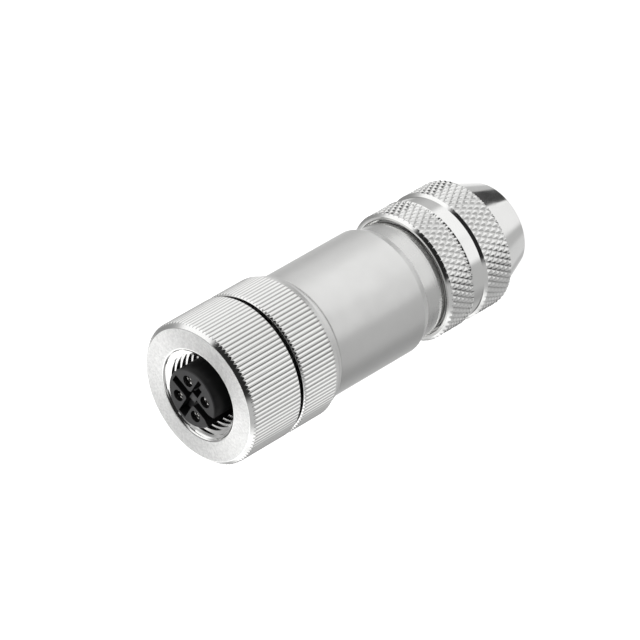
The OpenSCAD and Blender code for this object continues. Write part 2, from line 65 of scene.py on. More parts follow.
# Radii are compared with each other below, so the boxes' rounding error is taken off.
ring_r, nut_r, collar_r, sleeve_r = (round(r, 3) for r in (ring_r, nut_r, collar_r, sleeve_r))

# Reach of an edge's rounding, from each side of the corner
fine_edge = 0.03
edge = 0.04
soft_edge = 0.05
round_edge = 0.06
wide_edge = 0.1

thread_gap = 0.06  # how much smaller in radius a male thread is
hair = 0.001  # tolerance of a height
arc_steps = 8  # parts of a rounded end
sharp_angle = 32  # degrees, from which a turned piece's edge is drawn sharp

# Straight knurls of the coupling ring and the front collar. Each tooth has points at these
# shares of its width, raised by these shares of its depth.
teeth = 102
knurl_depth = 0.27
tooth_marks = np.array([0, 0.05, 0.12, 0.2, 0.3, 0.4, 0.5, 0.6, 0.7, 0.8, 0.88, 0.95])
tooth_rise = np.array([0.0, 0.14, 0.42, 0.66, 0.86, 0.97, 1, 0.97, 0.86, 0.66, 0.42, 0.14])
shallowest = 0.93  # share of the depth that the shallowest tooth has
tooth_sway = 0.012  # sideways error of a tooth's crest, as a share of its width

# Coupling ring
ring_rim = 0.5
ring_chamfer = 0.65
ring_rear_chamfer = 0.2
flange_len = 1
flange_z1 = ring_z0 + flange_len
flange_r = 5.06
mouth_size = 0.42
mouth_depths = (0.12, 0.34, 0.66)  # of the bevel's end, the wall's end and the first full thread
mouth_wall_r = 6.2
coupling_thread = dict(major=6.03, minor=5.46, pitch=1.0)
undercut_len = 1.15

# Front collar
collar_z0 = sleeve_z1 + 0.08
collar_z1 = ring_z0 - 0.67
collar_chamfer = 0.3
collar_rim = 0.4
shoulder_len = 1.9
shoulder_round_share = 0.45
spigot_r = 5.0
spigot_bore_r = 4.36
clip_groove_r = 4.7
clip_groove = (flange_z1 + 0.015, flange_z1 + 0.56)
wall_z0 = collar_z1 - 1.7
cavity_r = 6.26
insert_groove_r = 6.56
insert_groove = (wall_z0 - 10.04, wall_z0 - 9.48)
rib_slot_w = 1.3
rib_slot_h = 0.5
joint_thread = dict(major=8.03, minor=7.6, pitch=0.75)
seal_groove_r = 7.32
seal_groove = (collar_z0 - 0.95, collar_z0 - 0.27)
seal_groove_edge = 0.02

# Housing sleeve
clamp_thread = dict(major=8.03, minor=7.46, pitch=1.0)
neck_r = 8.2
clamp_thread_len = 8
neck_z0 = clamp_z0 + clamp_thread_len
relief_depth, relief_len = 0.22, 1.7
neck_line_gap = 0.11
neck_line_depths = (0.014, 0.002)  # turning lines near the nut and near the sleeve
neck_len = 3.55
sleeve_z0 = nut_z1 + neck_len
sleeve_chamfer = 1.1
sleeve_end_r = 8.5
sleeve_bevel = 0.16
sleeve_front_len = 0.3
bore_bevel = 0.15
seat_r = 6.9
web_z0, web_z1 = nut_z1 + 4.24, nut_z1 + 5.24
web_hole_r = 5.6
chamber_r = 7.4
chamber_z1 = joint_z0 - 0.2
joint_bore_len = 1.05

# Clamp nut
diamonds = 60
half_diamond = 0.785  # half of a diamond's length along the axis
diamond_steps = 6  # parts of that half
bore_steps = 2  # the same in the bore, which is coarser
diamond_depth = 0.24
diamond_marks = [0, 0.15, 0.3, 0.88, 1]  # from a diamond's top to its groove
diamond_fall = [0, 0.04, 0.2, 0.96, 1]  # shares of the depth there
fade_len = 0.22  # over which the knurl runs out before a chamfer
diamond_turn = 1.6  # degrees
cone_len = 5.66
cone_top_r = nut_r - 0.62
cone_end_r = cone_top_r - 2.1
end_round = 0.35
rear_band_len = 4.65
band_chamfer = 0.37
groove_r = nut_r - band_chamfer
groove_w = 1.91
groove_edge = 0.02
nut_chamfer = 0.42
crest_z = (cone_len + 2.8, nut_z1 - 0.66)  # a row of tops in the low band and in the high one
entry_bore_r = 4.25
entry_bevel = 0.15
jaw_lip = 0.25
jaw_z0, jaw_r0 = 1.45, 4.7
nut_bore_z0, jaw_r1 = clamp_z0 - 3.5, 6.85
nut_mouth_z0 = neck_z0 - 3.5
nut_mouth_r = 8.29
nut_mouth_bevel = 0.12

# Funnel at the top of each socket contact
funnel_len, funnel_r = 0.25, 0.72

# Points closer than this become one, in the turned pieces and in those of the CAD's shape
weld, cad_weld = 0.0004, 0.0005

# Rounded edges of the pieces that keep the CAD's shape
bevel_segments = 2
bevel_angle = 40

# Photograph's view: angles in degrees, lengths in mm
view_azimuth = 164.5
view_elevation = 36.16
view_roll = -120
view_distance = 671.08
view_target = (-0.509, 0.141, 32.081)
view_lens = 291.1
sensor_width = 36

# Floor, in metres, and the lamp that throws its shadow
floor_half = 3.0
floor_z = -0.0001
floor_glow = 0.84
floor_paint = 0.5
lamp_place = (-0.15, 0.25, 0.7)
lamp_aim = (0, 0, 0.03)
lamp_size = 0.5
lamp_watts = 3.0

# A noise pattern lies mostly between these two
noise_low, noise_high = 0.3, 0.7
around_share = 0.02  # how fast turning marks change round the axis, to how fast along it


def view_axes():
    """The camera's right, up and backward directions in the row frame."""
    azimuth, elevation, roll = (math.radians(a) for a in (view_azimuth, view_elevation, view_roll))
    back = Vector((math.sin(azimuth) * math.cos(elevation),
                   -math.cos(azimuth) * math.cos(elevation), math.sin(elevation)))
    level = Vector((math.cos(azimuth), math.sin(azimuth), 0))
    upright = back.cross(level)
    right = math.cos(roll) * level + math.sin(roll) * upright
    return right, back.cross(right), back


def make_camera():
    right, up, back = view_axes()
    data = bpy.data.cameras.new("photo_camera")
    data.lens = view_lens
    data.sensor_width = sensor_width
    data.clip_start = 0.01
    camera = bpy.data.objects.new("photo_camera", data)
    place = (Vector(view_target) + view_distance * back) * MM
    camera.matrix_world = Matrix.Translation(place) @ Matrix((right, up, back)).transposed().to_4x4()
    bpy.context.scene.collection.objects.link(camera)
    bpy.context.scene.camera = camera


class Nodes:
    """Short calls for building a node tree."""

    def __init__(self, tree):
        self.tree = tree

    def add(self, kind, **settings):
        """A new node. Settings name its properties, or its inputs with spaces as underscores."""
        node = self.tree.nodes.new(kind)
        for name, value in settings.items():
            if hasattr(node, name):
                setattr(node, name, value)
            else:
                self.feed(node.inputs[name.replace("_", " ")], value)
        return node

    def feed(self, socket, value):
        """Links an output to the socket, or sets its number, colour or vector."""
        if isinstance(value, bpy.types.NodeSocket):
            self.tree.links.new(value, socket)
        else:
            socket.default_value = value

    def math(self, operation, *values):
        node = self.tree.nodes.new("ShaderNodeMath")
        node.operation = operation
        for socket, value in zip(node.inputs, values):
            self.feed(socket, value)
        return node.outputs[0]

    def vector_math(self, operation, *values, output=0):
        node = self.tree.nodes.new("ShaderNodeVectorMath")
        node.operation = operation
        for socket, value in zip(node.inputs, values):
            self.feed(socket, value)
        return node.outputs[output]

    def ramp(self, value, low, high, to_low, to_high, smooth=False):
        """The value, taken from one range to another and held within it."""
        node = self.add("ShaderNodeMapRange", Value=value)
        node.interpolation_type = "SMOOTHSTEP" if smooth else "LINEAR"
        for name, number in zip(("From Min", "From Max", "To Min", "To Max"),
                                (low, high, to_low, to_high)):
            node.inputs[name].default_value = number
        return node.outputs["Result"]

    def blend(self, share, a, b):
        """Colour a where share is 0, and b where it is 1."""
        node = self.tree.nodes.new("ShaderNodeMix")
        node.data_type = "RGBA"
        colours = [s for s in node.inputs if s.type == "RGBA"]
        self.feed(node.inputs[0], share)
        self.feed(colours[0], a)
        self.feed(colours[1], b)
        return next(s for s in node.outputs if s.type == "RGBA")


# Softboxes and flags of the studio that the metal mirrors. Each is aimed in degrees, to
# the right of the photograph's camera and above it, with the angles where its light
# begins to fall off and has gone, and its brightness.
studio_level = 0.5
studio_panels = {
    "overhead box": (0, 90, 50, 80, 1.04),
    "back flag": (-176, 54, 20, 29, 0.58),
    "right box": (74, 14, 12, 22, 1.0),
    "right rear box": (119, 27, 11, 18, 0.92),
    "low rear box": (138, -6, 8, 15, 0.68),
    "far box": (190, 4, 5, 32, 1.1),
    "low left box": (-104, -50, 36, 50, 1.5),
    "low right flag": (130, -57, 10, 35, 0.08),
    "camera side": (-20, -6, 31, 42, 0.02),
    "left flag": (-94, -20, 7, 24, 0.06),
    "left box": (-73, 26, 20, 28, 1.15),
    "far right card": (163, 38, 9, 15, 0.55),
    "far right flag": (147, 43, 10, 12, 0.06),
    "far left flag": (-137, 27, 5, 43, 0.30),
}


def make_world():
    """White to the camera. To the object it is the studio's panels round a grey level."""
    world = bpy.data.worlds.new("studio")
    world.use_nodes = True
    world.node_tree.nodes.clear()
    tree = Nodes(world.node_tree)
    bpy.context.scene.world = world
    direction = tree.vector_math("NORMALIZE", tree.add("ShaderNodeTexCoord").outputs["Generated"])
    right, up, back = view_axes()
    level = studio_level
    for turn, rise, inner, outer, brightness in studio_panels.values():
        turn, rise = math.radians(turn), math.radians(rise)
        aim = math.cos(rise) * (math.sin(turn) * right + math.cos(turn) * back) + math.sin(rise) * up
        facing = tree.vector_math("DOT_PRODUCT", direction, aim, output=1)
        share = tree.ramp(facing, math.cos(math.radians(outer)), math.cos(math.radians(inner)),
                          0, 1, smooth=True)
        change = tree.math("SUBTRACT", brightness, level)
        level = tree.math("ADD", level, tree.math("MULTIPLY", change, share))
    seen = tree.add("ShaderNodeMixShader")
    tree.feed(seen.inputs[0], tree.add("ShaderNodeLightPath").outputs["Is Camera Ray"])
    for socket, strength in zip(seen.inputs[1:], (level, 1.0)):
        background = tree.add("ShaderNodeBackground", Color=(1, 1, 1, 1), Strength=strength)
        tree.feed(socket, background.outputs[0])
    tree.feed(tree.add("ShaderNodeOutputWorld").inputs["Surface"], seen.outputs[0])


def make_floor():
    """Near-white floor, seen from above only, that keeps a faint shadow of the object."""
    half = floor_half
    mesh = bpy.data.meshes.new("floor")
    corners = [(-half, -half, 0), (half, -half, 0), (half, half, 0), (-half, half, 0)]
    mesh.from_pydata(corners, [], [(0, 1, 2, 3)])
    floor = bpy.data.objects.new("floor", mesh)
    floor.location.z = floor_z
    bpy.context.scene.collection.objects.link(floor)
    material = bpy.data.materials.new("white_floor")
    material.use_nodes = True
    material.node_tree.nodes.clear()
    tree = Nodes(material.node_tree)
    glow = tree.add("ShaderNodeEmission", Color=(1, 1, 1, 1), Strength=floor_glow)
    paint = tree.add("ShaderNodeBsdfDiffuse", Color=(floor_paint, floor_paint, floor_paint, 1))
    both = tree.add("ShaderNodeAddShader")
    clear = tree.add("ShaderNodeBsdfTransparent")
    side = tree.add("ShaderNodeMixShader")
    tree.feed(both.inputs[0], glow.outputs[0])
    tree.feed(both.inputs[1], paint.outputs[0])
    tree.feed(side.inputs[0], tree.add("ShaderNodeNewGeometry").outputs["Backfacing"])
    tree.feed(side.inputs[1], both.outputs[0])
    tree.feed(side.inputs[2], clear.outputs[0])
    tree.feed(tree.add("ShaderNodeOutputMaterial").inputs["Surface"], side.outputs[0])
    mesh.materials.append(material)
    floor.visible_glossy = False
    floor.visible_diffuse = False
    floor.visible_transmission = False
    floor.visible_shadow = False


def make_lamp():
    """A wide soft lamp overhead, which gives the floor its shadow."""
    data = bpy.data.lights.new("overhead_lamp", "AREA")
    data.shape = "DISK"
    data.size = lamp_size
    data.energy = lamp_watts
    lamp = bpy.data.objects.new("overhead_lamp", data)
    lamp.location = lamp_place
    aim = Vector(lamp_aim) - lamp.location
    lamp.rotation_euler = aim.to_track_quat("-Z", "Y").to_euler()
    lamp.visible_glossy = False
    bpy.context.scene.collection.objects.link(lamp)


class Skin:
    """Points and faces of one turned piece, in mm, built from loops round the Z axis."""

    def __init__(self):
        self.points = []
        self.faces = []
        self.count = 0

    def add(self, points):
        points = np.asarray(points, float)
        index = np.arange(self.count, self.count + len(points))
        self.points.append(points)
        self.count += len(points)
        return index

    def join(self, one, other):
        """Faces between two closed loops. The finer has a whole number of times the coarser's points."""
        coarse, fine = (one, other) if len(one) <= len(other) else (other, one)
        steps = len(fine) // len(coarse)
        for i in range(len(coarse)):
            after = (i + 1) % len(coarse)
            share = [fine[(i * steps + k) % len(fine)] for k in range(steps, -1, -1)]
            self.faces.append([coarse[i], coarse[after], *share])

    def path(self, path, angles, before=None):
        """Loops at each (radius, height) of the path, joined to each other and to a loop before."""
        first = None
        for radius, height in path:
            loop = self.add(around(angles, radius, height))
            if before is not None:
                self.join(before, loop)
            first = loop if first is None else first
            before = loop
        return first, before

    def sheet(self, rows):
        """Quads of an open grid of points. Gives its first and last row as closed loops."""
        height, width = rows.shape[:2]
        index = self.add(rows.reshape(-1, 3)).reshape(height, width)
        quads = np.stack([index[:-1, :-1], index[:-1, 1:], index[1:, 1:], index[1:, :-1]], -1)
        self.faces += quads.reshape(-1, 4).tolist()
        return index[0, :-1], index[-1, :-1]

    def build(self, name, material, body, replaced, sharp=sharp_angle, second=None):
        """Makes the piece. Second is another finish and the two heights that its faces lie between."""
        mesh = bpy.data.meshes.new(name)
        points = np.concatenate(self.points) * MM
        mesh.from_pydata(points.tolist(), [], [list(map(int, face)) for face in self.faces])
        work = bmesh.new()
        work.from_mesh(mesh)
        bmesh.ops.remove_doubles(work, verts=work.verts, dist=weld * MM)
        bmesh.ops.dissolve_degenerate(work, edges=work.edges, dist=weld * MM)
        bmesh.ops.recalc_face_normals(work, faces=work.faces)
        work.to_mesh(mesh)
        work.free()
        piece = place_piece(name, mesh, material, body, replaced, sharp)
        if second is not None:
            material, low, high = second
            mesh.materials.append(material)
            for polygon in mesh.polygons:
                heights = [mesh.vertices[v].co.z / MM for v in polygon.vertices]
                polygon.material_index = int(low < min(heights) and max(heights) < high)
        return piece


def place_piece(name, mesh, material, body, replaced, sharp):
    """Adds a finished mesh to the scene, in place of a CAD node and riding on its body."""
    mesh.shade_smooth()
    mesh.set_sharp_from_angle(angle=math.radians(sharp))
    mesh.materials.clear()
    mesh.materials.append(material)
    piece = bpy.data.objects.new(name, mesh)
    bpy.context.scene.collection.objects.link(piece)
    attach(piece, body)
    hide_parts(replaced)
    return piece


def around(angles, radius, height):
    """Points at these angles, with a radius and height for all of them or for each."""
    radius = np.broadcast_to(radius, angles.shape)
    height = np.broadcast_to(height, angles.shape)
    return np.stack([radius * np.cos(angles), radius * np.sin(angles), height], 1)


def even_angles(count):
    return np.arange(count) * TURN / count


def eased(corners, size=edge):
    """A path of (radius, height) points with each corner between its ends rounded off.

    A radius or height may be one number or one for each column. Two more points near the
    ends of each long line keep its face flat to the eye."""
    width = max(np.size(value) for corner in corners for value in corner)
    points = [np.stack([np.broadcast_to(v, width) for v in corner]).astype(float)
              for corner in corners]
    path = [points[0]]
    for before, corner, after in zip(points, points[1:], points[2:]):
        ends = []
        for other in (before, after):
            length = np.maximum(np.hypot(*(other - corner)), 1e-6)
            ends.append(corner + (other - corner) * np.minimum(0.45, size / length))
        path += [ends[0], (ends[0] + 2 * corner + ends[1]) / 4, ends[1]]
    path.append(points[-1])
    braced = path[:1]
    for one, other in zip(path, path[1:]):
        length = np.hypot(*(other - one))
        if np.min(length) > 4 * size:
            brace = (other - one) * size / length
            braced += [one + brace, other - brace]
        braced.append(other)
    return [(p[0], p[1]) for p in braced]


def arc(centre_r, centre_z, reach_r, reach_z, start, end):
    """Points on a part of an ellipse, angles in degrees."""
    turns = [math.radians(start + (end - start) * k / arc_steps) for k in range(arc_steps + 1)]
    return [(centre_r + reach_r * math.cos(t), centre_z + reach_z * math.sin(t)) for t in turns]


def thread_radius(angles, heights, major, minor, pitch):
    """Radius of a right-hand screw thread: flat crests and roots with 60 degree flanks.

    Corners are where they begin and end, as shares of the pitch."""
    phase = np.mod(heights / pitch - angles / TURN, 1)
    corners = [0, 1 / 16, 6 / 16, 10 / 16, 15 / 16, 1]
    return np.interp(phase, corners, [major, major, minor, minor, major, major])


def thread_rows(columns, z0, z1, thread, gap=0.0, low=None, high=None):
    """Rows of points along a thread's helix, held between two heights.

    A gap makes the male thread smaller. Low and high limit the radius, as
    functions of the height, for a countersink or a chamfered start. Marks are
    the rows of one turn, as shares of the pitch."""
    pitch = thread["pitch"]
    marks = np.array([1, 2.7, 4.3, 6, 7, 9, 10, 11.7, 13.3, 15]) / 16
    turns = np.arange(-2, math.ceil((z1 - z0) / pitch) + 1)
    base = math.floor(z0 / pitch) * pitch
    starts = (turns[:, None] + marks).ravel() * pitch + base
    angles = np.arange(columns + 1) * TURN / columns
    heights = np.clip(starts[:, None] + angles * pitch / TURN, z0, z1)
    heights = heights[(heights < z1).any(1) | (np.arange(len(heights)) == len(heights) - 1)]
    heights[-1] = z1
    radius = thread_radius(angles, heights, **thread) - gap
    if low is not None:
        radius = np.maximum(radius, low(heights))
    if high is not None:
        radius = np.minimum(radius, high(heights))
    return np.stack([radius * np.cos(angles), radius * np.sin(angles), heights], -1)


def knurl_columns(radius):
    """Angles and radii of the columns of a straight knurl, no two teeth quite alike."""
    depth = knurl_depth * random.uniform(shallowest, 1.0, (teeth, 1))
    sway = random.normal(0, tooth_sway, (teeth, 1)) * np.sin(math.pi * tooth_marks)
    angles = (np.arange(teeth)[:, None] + tooth_marks + sway) * TURN / teeth
    return angles.ravel(), (radius - depth * (1 - tooth_rise)).ravel()


def make_coupling_ring(material, face_material):
    skin = Skin()
    angles, knurl = knurl_columns(ring_r)
    rear_r = ring_r - ring_rear_chamfer
    front_r = ring_r - ring_chamfer
    rim = ring_rim
    outside = eased([(rear_r - rim, ring_z0), (np.minimum(knurl, rear_r), ring_z0),
                     (knurl, ring_z0 + np.maximum(0, knurl - rear_r)),
                     (knurl, ring_z1 - (knurl - front_r)), (front_r, ring_z1),
                     (front_r - rim, ring_z1)])
    rear_loop, front_loop = skin.path(outside, angles)
    columns = even_angles(2 * teeth)
    major = coupling_thread["major"]
    mouth_r = major + mouth_size
    start = rim / 8
    thread_z0 = flange_z1 + undercut_len
    thread_z1 = ring_z1 - start
    mouth = eased([(mouth_r + rim, ring_z1), (mouth_r, ring_z1), (mouth_r - start, thread_z1)],
                  wide_edge)
    _, mouth_loop = skin.path(mouth, columns, front_loop)
    depths = [0, *mouth_depths]
    radii = [mouth_r, mouth_r - mouth_depths[0], mouth_wall_r, coupling_thread["minor"]]
    thread = thread_rows(len(columns), thread_z0, thread_z1, coupling_thread,
                         low=lambda z: np.interp(ring_z1 - z, depths, radii))
    thread_low, thread_high = skin.sheet(thread)
    skin.join(mouth_loop, thread_high)
    inside = eased([(major, thread_z0), (major, flange_z1), (flange_r, flange_z1),
                    (flange_r, ring_z0), (flange_r + rim, ring_z0)])
    _, last = skin.path(inside, columns, thread_low)
    skin.join(last, rear_loop)
    return skin.build("coupling_ring_turned", material, "coupling_ring", "coupling_ring",
                      second=(face_material, ring_z1 - hair, ring_z1 + hair))


def make_front_collar(material, shoulder_material):
    skin = Skin()
    angles, knurl = knurl_columns(collar_r)
    shoulder_r = (collar_r + sleeve_r) / 2
    shoulder_mid = collar_z0 + shoulder_len * shoulder_round_share
    slope = (collar_z0 + shoulder_len - shoulder_mid) / (collar_r - shoulder_r)
    front_r = collar_r - collar_chamfer
    rim = collar_rim
    shoulder = arc(sleeve_r, shoulder_mid, shoulder_r - sleeve_r, shoulder_mid - collar_z0, -90, 0)
    knurled = eased([shoulder[-1], (knurl, shoulder_mid + (knurl - shoulder_r) * slope),
                     (knurl, collar_z1 - (knurl - front_r)), (front_r, collar_z1),
                     (front_r - rim, collar_z1)], soft_edge)
    rear_loop, before = skin.path([(sleeve_r - rim, collar_z0)] + shoulder, angles)
    _, front_loop = skin.path(knurled[1:], angles, before)
    columns = even_angles(2 * teeth)
    front = [(spigot_r, collar_z1), (spigot_r, clip_groove[0]), (clip_groove_r, clip_groove[0]),
             (clip_groove_r, clip_groove[1]), (spigot_r, clip_groove[1]), (spigot_r, spigot_z1),
             (spigot_bore_r, spigot_z1), (spigot_bore_r, wall_z0)]
    slot = np.abs(cavity_r * np.sin(columns)) < rib_slot_w / 2
    slot &= np.cos(columns) < 0
    cavity = cavity_r + rib_slot_h * slot
    groove = np.maximum(cavity, insert_groove_r)
    back = [(cavity, wall_z0), (cavity, insert_groove[1]), (groove, insert_groove[1]),
            (groove, insert_groove[0]), (cavity, insert_groove[0]), (cavity, joint_z0)]
    start_r = joint_thread["minor"] - thread_gap
    front = eased([(spigot_r + rim, collar_z1)] + front, fine_edge)
    _, before = skin.path(front[:-1], columns, front_loop)
    back = eased([(spigot_bore_r, wall_z0 + rim), (spigot_bore_r, wall_z0)] + back
                 + [(start_r - rim / 4, joint_z0)], fine_edge)
    _, before = skin.path(back[1:], columns, before)
    thread = thread_rows(len(columns), joint_z0, seal_groove[0], joint_thread, thread_gap,
                         high=lambda z: start_r + (z - joint_z0))
    thread_low, thread_high = skin.sheet(thread)
    skin.join(before, thread_low)
    male_r = joint_thread["major"] - thread_gap
    seat = eased([(male_r, seal_groove[0]), (seal_groove_r, seal_groove[0]),
                  (seal_groove_r, seal_groove[1]), (male_r, seal_groove[1]), (male_r, collar_z0),
                  (sleeve_r - 2 * rim, collar_z0)], seal_groove_edge)
    _, last = skin.path(seat, columns, thread_high)
    skin.join(last, rear_loop)
    return skin.build("front_collar_turned", material, "front", "front_collar",
                      second=(shoulder_material, collar_z0 - hair,
                              collar_z0 + shoulder_len + round_edge))


def make_housing_sleeve(material, neck_material):
    skin = Skin()
    columns = even_angles(360)
    clamp_male_r = clamp_thread["major"] - thread_gap
    start_r = clamp_thread["minor"] - thread_gap
    thread = thread_rows(len(columns), clamp_z0, neck_z0, clamp_thread, thread_gap,
                         high=lambda z: start_r + (z - clamp_z0))
    thread_low, thread_high = skin.sheet(thread)
    neck = []
    for height in np.arange(neck_z0, sleeve_z0, neck_line_gap):
        relief = max(0, nut_z1 + relief_len - height) / relief_len
        line = random.uniform(-1, 1) * np.interp(height, [nut_z1 + 1, nut_z1 + 3], neck_line_depths)
        neck.append((neck_r - relief_depth * relief ** 2 + line, height))
    outside = [(clamp_male_r, neck_z0)] + neck + [(neck_r, sleeve_z0)]
    _, before = skin.path(outside, columns, thread_high)
    end = eased([(neck_r, sleeve_z0), (sleeve_end_r, sleeve_z0), (sleeve_r, sleeve_z0 + sleeve_chamfer),
                 (sleeve_r, sleeve_z1 - sleeve_front_len)], fine_edge)
    _, before = skin.path(end[1:], columns, before)
    bore_r = joint_thread["major"]
    front = eased([(sleeve_r, sleeve_z1 - sleeve_front_len), (sleeve_r, sleeve_z1 - sleeve_bevel),
                   (sleeve_r - sleeve_bevel, sleeve_z1), (bore_r + bore_bevel, sleeve_z1),
                   (bore_r, sleeve_z1 - bore_bevel), (bore_r, sleeve_z1 - joint_bore_len)], fine_edge)
    _, before = skin.path(front[1:], columns, before)
    inner = thread_rows(len(columns), chamber_z1, sleeve_z1 - joint_bore_len, joint_thread)
    inner_low, inner_high = skin.sheet(inner)
    skin.join(before, inner_high)
    inside = eased([(bore_r - 0.6, chamber_z1), (chamber_r, chamber_z1),
                    (chamber_r, web_z1), (web_hole_r, web_z1), (web_hole_r, web_z0),
                    (seat_r, web_z0), (seat_r, clamp_z0), (start_r - soft_edge, clamp_z0)], wide_edge)
    _, last = skin.path(inside[1:], columns, inner_low)
    skin.join(last, thread_low)
    return skin.build("housing_sleeve_turned", material, "housing", "housing_sleeve",
                      second=(neck_material, neck_z0 + hair, sleeve_z0 + hair))


def diamond_rows(z0, z1, top_z, angles, outline):
    """A band of diamond knurl, cut by a turned outline of (height, radius) points.

    Top_z is the height of one row of the diamonds' tops. The knurl grows to its full
    depth from the flat ends of the outline's chamfers. Gives the rows of points, and
    which step of the knurl the first row stands on."""
    step = half_diamond / diamond_steps
    clear = 0.1  # of a step, between the band's ends and the nearest row
    marks = np.arange(math.ceil((z0 - top_z) / step + clear), (z1 - top_z) / step - clear)
    levels = np.array([z0, *(top_z + marks * step), z1])
    heights = np.repeat(levels[:, None], len(angles), 1)
    column = np.arange(len(angles)) / diamond_steps
    full = [height for height, radius in outline if radius == nut_r]

    def knurl(z):
        row = (z - top_z) / half_diamond
        slopes = [np.abs(np.mod((column + way * row) / 2, 1) - 0.5) * 2 for way in (1, -1)]
        fall = np.interp(np.maximum(*slopes), diamond_marks, diamond_fall)
        depth = diamond_depth * np.clip(np.minimum(z - full[0], full[-1] - z) / fade_len, 0, 1)
        return nut_r - depth * fall

    def turned(z):
        return np.interp(z, *zip(*outline))

    # Points beside the line where the chamfer cuts the knurl move onto it.
    above = knurl(heights) - turned(heights)
    crossing = (above[:-1] > 0) != (above[1:] > 0)
    for j, i in np.argwhere(crossing):
        share = above[j, i] / (above[j, i] - above[j + 1, i])
        cut = heights[j, i] + share * (heights[j + 1, i] - heights[j, i])
        nearest = j if share < 0.5 else j + 1
        if 0 < nearest < len(levels) - 1:
            heights[nearest, i] = cut
    radius = np.minimum(knurl(heights), turned(heights))
    return np.stack([radius * np.cos(angles), radius * np.sin(angles), heights], -1), int(marks[0]) - 1


def add_diamonds(skin, rows, first):
    """Triangles of a closed band, split along the knurl's grooves. Gives its end loops."""
    height, width = rows.shape[:2]
    index = skin.add(rows.reshape(-1, 3)).reshape(height, width)
    period = 2 * diamond_steps
    for j in range(height - 1):
        for i in range(width):
            a, b = index[j, i], index[j, (i + 1) % width]
            d, c = index[j + 1, i], index[j + 1, (i + 1) % width]
            fall, climb = i - j - first, i + j + first
            if fall % period == 0 or (climb + 1) % period != 0 and climb % 2:
                skin.faces += [[a, b, c], [a, c, d]]
            else:
                skin.faces += [[a, b, d], [b, c, d]]
    return index[0], index[-1]


def make_clamp_nut(material):
    skin = Skin()
    band2_z1 = cone_len + rear_band_len
    groove_z0 = band2_z1 + band_chamfer
    groove_z1 = groove_z0 + groove_w
    band1_z0 = groove_z1 + band_chamfer
    taper = math.degrees(math.atan2(cone_top_r - cone_end_r, cone_len - end_round))
    fine = even_angles(2 * diamonds * diamond_steps) + math.radians(diamond_turn)
    low_band = diamond_rows(cone_len, groove_z0, crest_z[0], fine,
                            [(cone_len - fade_len, nut_r), (band2_z1, nut_r), (groove_z0, groove_r)])
    high_band = diamond_rows(groove_z1, nut_z1, crest_z[1], fine,
                             [(groove_z1, groove_r), (band1_z0, nut_r),
                              (nut_z1 - nut_chamfer, nut_r), (nut_z1, nut_r - nut_chamfer)])
    end = arc(cone_end_r - end_round, end_round, end_round, end_round, -90, -taper)
    cone = eased([end[-1], (cone_top_r, cone_len), (groove_r, cone_len)], round_edge)
    first, before = skin.path([(cone_end_r - end_round - 0.3, 0)] + end + cone[1:-1], fine)
    low, high = add_diamonds(skin, *low_band)
    skin.join(before, low)
    smooth = [(groove_r, groove_z0 + groove_edge), (groove_r, groove_z1 - groove_edge)]
    _, before = skin.path(smooth, fine, high)
    low, high = add_diamonds(skin, *high_band)
    skin.join(before, low)
    coarse = even_angles(2 * diamonds * bore_steps) + math.radians(diamond_turn)
    mouth = eased([(nut_r - nut_chamfer, nut_z1), (nut_mouth_r + nut_mouth_bevel, nut_z1),
                   (nut_mouth_r, nut_z1 - nut_mouth_bevel), (nut_mouth_r, nut_mouth_z0),
                   (clamp_thread["major"], nut_mouth_z0)], soft_edge)
    _, before = skin.path(mouth[1:], coarse, high)
    rows = thread_rows(len(coarse), nut_bore_z0, nut_mouth_z0, clamp_thread,
                       low=lambda z: clamp_thread["major"] - (nut_mouth_z0 - z))
    thread_low, thread_high = skin.sheet(rows)
    skin.join(before, thread_high)
    inside = eased([(clamp_thread["minor"] - wide_edge, nut_bore_z0), (jaw_r1, nut_bore_z0),
                    (jaw_r0, jaw_z0), (entry_bore_r, jaw_z0 - jaw_lip), (entry_bore_r, entry_bevel),
                    (entry_bore_r + entry_bevel, 0), (cone_end_r - end_round - 0.6, 0)], soft_edge)
    _, last = skin.path(inside, coarse, thread_low)
    skin.join(last, first)
    return skin.build("clamp_nut_knurled", material, "clamp_nut", "clamp_nut", 24)


def refined(node, body, material, bevel, change=None):
    """A CAD node's shape as clean faces with small rounded edges, in place of the node.

    Change is a function that works on the shape before its edges are rounded."""
    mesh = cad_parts[node].data.copy()
    work = bmesh.new()
    work.from_mesh(mesh)
    bmesh.ops.remove_doubles(work, verts=work.verts, dist=cad_weld * MM)
    bmesh.ops.dissolve_limit(work, angle_limit=math.radians(1), verts=work.verts, edges=work.edges)
    if change is not None:
        change(work)
    work.to_mesh(mesh)
    work.free()
    piece = place_piece(node + "_finished", mesh, material, body, node, sharp_angle)
    rounding = piece.modifiers.new("rounded_edges", "BEVEL")
    rounding.width = bevel * MM
    rounding.segments = bevel_segments
    rounding.limit_method = "ANGLE"
    rounding.angle_limit = math.radians(bevel_angle)
    rounding.harden_normals = True
    return piece


def countersunk(work):
    """Opens the top of a contact's socket into a funnel."""
    top = max(vert.co.z for vert in work.verts)
    whole = work.verts[:] + work.edges[:] + work.faces[:]
    bmesh.ops.bisect_plane(work, geom=whole, plane_co=(0, 0, top - funnel_len * MM), plane_no=(0, 0, 1))
    rim = [vert for vert in work.verts if vert.co.z > top - hair * MM]
    centre = sum((vert.co for vert in rim), Vector()) / len(rim)
    for vert in rim:
        outward = vert.co - centre
        if outward.length < funnel_r * MM:
            vert.co = centre + outward.normalized() * funnel_r * MM


